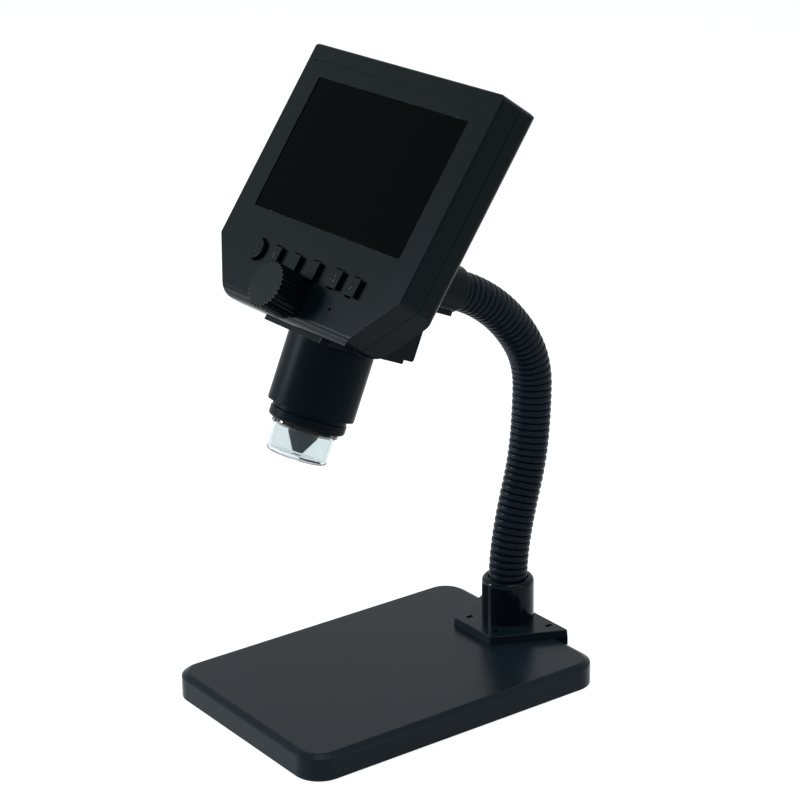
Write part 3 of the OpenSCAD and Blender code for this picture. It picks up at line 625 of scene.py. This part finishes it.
# ------------------------------------------------------------------ barrel carrier and tail cover
# A black moulding carries the lens barrel under the head and is screwed to the rear shell with
# two screws. A flat cover with two screws closes its open back, round the swivel stub.
finished("barrel_housing", "barrel_carrier", "head", HEAD_PLASTIC, 0.0006, 4)
finished("back_cover", "tail_cover", "head", HEAD_PLASTIC)
dress(SCREW, "housing_screws", "cover_screws")


# ------------------------------------------------------------------ screen
# A 4.3-inch liquid crystal panel in a thin metal frame, behind a glossy dark window that is
# glued just below the face.
SCREEN = Finish("dark screen", Base_Color=(0.0008, 0.0016, 0.0017, 1), Roughness=0.12,
                Specular_IOR_Level=0.012, Specular_Tint=(0.7, 0.95, 1.0, 1))
SCREEN.link(SCREEN.noise(14, 2) * 0.08 + 0.08, "Roughness")
SCREEN.bump(SCREEN.noise(30, 2), 0.02, 0.0001)


def nearer_face(ob):
    """Brings the window's front up to just below the face, and its edges close to the frame."""
    def change(h):
        if h.z > -0.0012:
            h.z = -0.00035
        h.x, h.y = h.x * 1.0015, h.y * 1.0025

    in_head(ob, change)


finished("screen_glass", "screen_window", "head", SCREEN, 0.00012, 2, nearer_face)
dress(worked("pressed aluminium", (0.5, 0.51, 0.53), 0.3, 1.0, 1600, 0.00002), "lcd_panel")


# ------------------------------------------------------------------ electronics
# Inside are green fibreglass boards with copper tracks under the lacquer, a flat lithium cell
# in a foil bag taped to the rear shell, and bright tinned sockets whose mouths open at the side.
BOARD = Finish("green board", Roughness=0.35)
tracks = BOARD.node("TexBrick", out=1, settings=dict(offset=0.5), Vector=BOARD.place(),
                    Scale=260.0, Mortar_Size=0.16)
tone = BOARD.noise(120, 3)
BOARD.link(BOARD.mix((tracks * 0.5 + tone * 0.5).clip(), (0.008, 0.05, 0.022, 1), (0.03, 0.16, 0.07, 1)),
           "Base Color")
BOARD.link(tone * 0.2 + 0.25, "Roughness")
BOARD.bump(tracks, 0.3, 0.00004)
dress(BOARD, "main_board", "button_board", "sensor_board")
dress(SCREW, "board_screws")
dress(worked("foil cell bag", (0.42, 0.43, 0.45), 0.4, 0.8, 500, 0.0001), "battery")
TINNED = worked("tinned socket", (0.55, 0.56, 0.57), 0.24, 1.0, 2400, 0.00001)
dress(TINNED, "usb_socket", "card_socket")


# ------------------------------------------------------------------ buttons
# One round power button and five square ones, black mouldings with a raised sign on each cap
# and a flange behind the face that keeps them in. They stand nearly 2 mm above the face.
KEY_PLASTIC = satin("button plastic", (0.0018, 0.0044, 0.0057), 0.22, grain=7000, shine=0.07)
plain = KEY_PLASTIC.shader.inputs["Base Color"].links[0].from_socket
# The sides of the caps get a darker colour than their tops: painted shade, for the shadow in the gaps
# round the buttons.
cap_tone, painted_side_shade = Num(KEY_PLASTIC.tree, plain), (0.0015, 0.003, 0.004, 1)
facing = KEY_PLASTIC.node("VectorMath", out="Value", settings=dict(operation="DOT_PRODUCT"),
                          i0=KEY_PLASTIC.node("TexCoord", out="Normal"),
                          i1=HEAD.to_3x3() @ Vector((0, 0, 1)))
KEY_PLASTIC.link(KEY_PLASTIC.mix(facing.above(0.55, 0.3), painted_side_shade, cap_tone), "Base Color")

FACE_T, KEY_W, KEY_H = 0.0016, 0.0075, 0.0019
KEY_LOW, POWER_R, KEY_FLANGE_R, POWER_FLANGE_R = -FACE_T - 0.0001, 0.0043, 0.00505, 0.0053
MENU = [(0, y, 2.6, 0) for y in (-0.9, 0, 0.9)]
LEFT = [(-0.1, 0.55, 1.9, 45), (-0.1, -0.65, 1.9, -45)]
RIGHT = [(0.1, 0.55, 1.9, -45), (0.1, -0.65, 1.9, 45)]
FRAME = [(0, 1.1, 2.9, 0), (0, -1.1, 2.9, 0), (1.3, 0, 2.2, 90), (-1.3, 0, 2.2, 90)]
PLUS = [(0, 0, 2.6, 0), (0, 0, 2.6, 90)]
POWER = [(1.5 * sin(radians(q)), 1.5 * cos(radians(q)), 0.7, -q) for q in range(45, 320, 25)]
POWER.append((0, 1.2, 1.5, 90))


def with_sign(cap, strokes):
    """Adds raised strokes, each a thin bar (x, y, length, turn) in millimetres and degrees."""
    bars = []
    for x, y, length, turn in strokes:
        bar = begin("cube", size=1, location=(x * MM, y * MM, KEY_H), rotation=(0, 0, radians(turn)))
        scale(length * MM, 0.0004, 0.0002, orient_type="LOCAL")
        pick_out(bar, "EDGE", lambda c, e: all(v.co.z > 0 for v in e.verts))
        bevel(0.00006, 2)
        bars.append(bar)
    return joined(cap, *bars)


def flange(radius):
    ring = begin("cylinder", radius=radius, depth=0.001, vertices=48, location=(0, 0, -FACE_T - 0.00055))
    pick_out(ring, "EDGE", lambda c, e: abs(e.verts[0].co.z - e.verts[1].co.z) < 1e-6)
    bevel(0.0001, 2)
    return ring


for k, ((x, y), sign) in enumerate(zip(KEYS_AT, (MENU, LEFT, RIGHT, FRAME, PLUS)), 1):
    cap = begin("cube", size=1, location=(0, 0, (KEY_H + KEY_LOW) / 2))
    scale(KEY_W, KEY_W, KEY_H - KEY_LOW)
    cap = with_sign(joined(cap, flange(KEY_FLANGE_R)), sign)
    shaped(cap, "key_%d" % k, "button_%d" % k, "button_%d" % k, KEY_PLASTIC,
           HEAD @ Matrix.Translation((x * MM, y * MM, 0)))
cap = begin("cylinder", radius=POWER_R, depth=KEY_H + FACE_T, vertices=72,
            location=(0, 0, (KEY_H - FACE_T) / 2))
pick_out(cap, "EDGE", lambda c, e: all(v.co.z > 0.001 for v in e.verts))
bevel(0.00028)
cap = with_sign(joined(cap, flange(POWER_FLANGE_R)), POWER)
shaped(cap, "power_key", "power_button", "power_button", KEY_PLASTIC,
       HEAD @ Matrix.Translation((POWER_AT[0] * MM, POWER_AT[1] * MM, 0)))


# ------------------------------------------------------------------ focus knob
# A black knob with 30 moulded ribs and a flat face. It is pushed on to the flat of a steel
# shaft, whose pinion drives a brass rack and so slides the lens; a clip holds the shaft.
KNOB_PLASTIC = satin("knob plastic", (0.0019, 0.0042, 0.0054), 0.27, grain=7000, shine=0.07)
KNOB_R, KNOB_LO, KNOB_HI, KNOB_V = 0.0096, 0.0006, 0.0135, -0.0577
RIBS, GROOVE, RIM_VERTICES = 30, 0.93, 120      # GROOVE is a share of the radius
knob = begin("cylinder", radius=KNOB_R, depth=KNOB_HI - KNOB_LO, vertices=RIM_VERTICES,
             location=(0, 0, (KNOB_HI + KNOB_LO) / 2))


def in_groove(c, v):
    per_rib = RIM_VERTICES // RIBS
    return round(atan2(c.y, c.x) / (2 * pi) * RIM_VERTICES) % per_rib in (2, 3)


pick_out(knob, "VERT", in_groove)
scale(GROOVE, GROOVE, 1)
pick_out(knob, "EDGE", lambda c, e: all(v.co.z > 0.004 for v in e.verts))
bevel(0.0002, 2)
bore = begin("cylinder", radius=0.00202, depth=0.0104, vertices=48, location=(0, 0, 0.0053))
shaped(cut(knob, bore), "knob", "focus_knob", "focus_knob", KNOB_PLASTIC,
       HEAD @ Matrix.Translation((0, KNOB_V, 0)))
dress(STEEL, "knob_shaft")
dress(SCREW, "shaft_clip")


# ------------------------------------------------------------------ barrel
# The lens barrel is a plain black tube with a groove round it, closed by a turned ring that
# holds the lamps, a clear cap that spreads their light, and a dark nose that shades the lens.
TUBE = satin("barrel plastic", (0.0034, 0.0066, 0.0096), 0.34, depth=0.00001, strength=0.1, shine=0.03)
TUBE_LINE = ([(13.56, -21.1), (17.5, -21.1)] + arc(17.5, -20.8, 0.3, -90, 0, 4)
             + [(17.8, 7.5), (16.3, 7.5), (16.3, 10.5), (17.8, 10.5), (17.8, 12.3), (16.3, 12.3),
                (16.3, 28), (13.56, 28), (13.56, -21.1)])
RING_LINE = ([(10.8, -18.5), (10.8, -27.4), (14.2, -27.4)] + arc(14.2, -25.9, 1.5, -90, 0, 8)[1:]
             + [(15.7, -23.4), (15.3, -22.9), (15.3, -21.12), (13.56, -21.12), (13.56, -18.5),
                (10.8, -18.5)])
CAP_LINE = ([(10.8, -24), (10.8, -27.42), (13.5, -27.42), (13.7, -27.8), (13.7, -28.9),
             (13.4, -29.3), (12.7, -29.5), (12.6, -39.3)] + arc(11.2, -39.3, 1.4, 0, -90, 8)[1:]
            + [(2, -40.7), (2, -39.7), (10.9, -39.7), (11.6, -39), (11.6, -29), (9.8, -28.2),
               (9.8, -24), (10.8, -24)])
NOSE_LINE = [(6.1, -18.5), (6.1, -31.5), (2.2, -38.5), (1.4, -38.5), (5.3, -31.3), (5.3, -18.5),
             (6.1, -18.5)]
shaped(spun(TUBE_LINE, 128), "barrel", "head", "barrel_tube", TUBE, BARREL)
shaped(spun(RING_LINE, 128), "nose_ring", "head", "end_ring", TUBE, BARREL)
CLEAR = Finish("clear acrylic", Base_Color=(0.74, 0.79, 0.8, 1), Roughness=0.2, IOR=1.3,
               Transmission_Weight=1.0)
swirl = CLEAR.noise(90, 2)
CLEAR.link(swirl * 0.14 + 0.03, "Roughness")
CLEAR.bump(swirl, 0.1, 0.0002)
shaped(spun(CAP_LINE, 128), "cap", "head", "clear_cap", CLEAR, BARREL)
NOSE_PLASTIC = satin("lens nose", (0.018, 0.032, 0.042), 0.4)
shaped(spun(NOSE_LINE), "lens_nose", "head", "lens_hood", NOSE_PLASTIC, BARREL)
dress(worked("white lamp board", (0.7, 0.7, 0.68), 0.5, scale=800), "led_board")
dress(worked("lamp phosphor", (0.75, 0.6, 0.16), 0.25, scale=1500), "leds")


# ------------------------------------------------------------------ focusing lens
# A black carrier with a brass rack on its side slides inside the barrel and holds the coated
# glass lens in front of the sensor's board.
dress(TUBE, "lens_carrier")
dress(worked("cut brass", (0.5, 0.34, 0.12), 0.3, 1.0, 1800, 0.00002), "focus_rack")
LENS = Finish("coated glass", Roughness=0.03, IOR=1.5, Transmission_Weight=1.0)
coating = LENS.mix(LENS.noise(200, 2), (0.72, 0.8, 0.98, 1), (0.88, 0.84, 0.98, 1))
LENS.link(coating, "Base Color")
LENS.link(LENS.noise(700, 2) * 0.04 + 0.01, "Roughness")
dress(LENS, "lens")
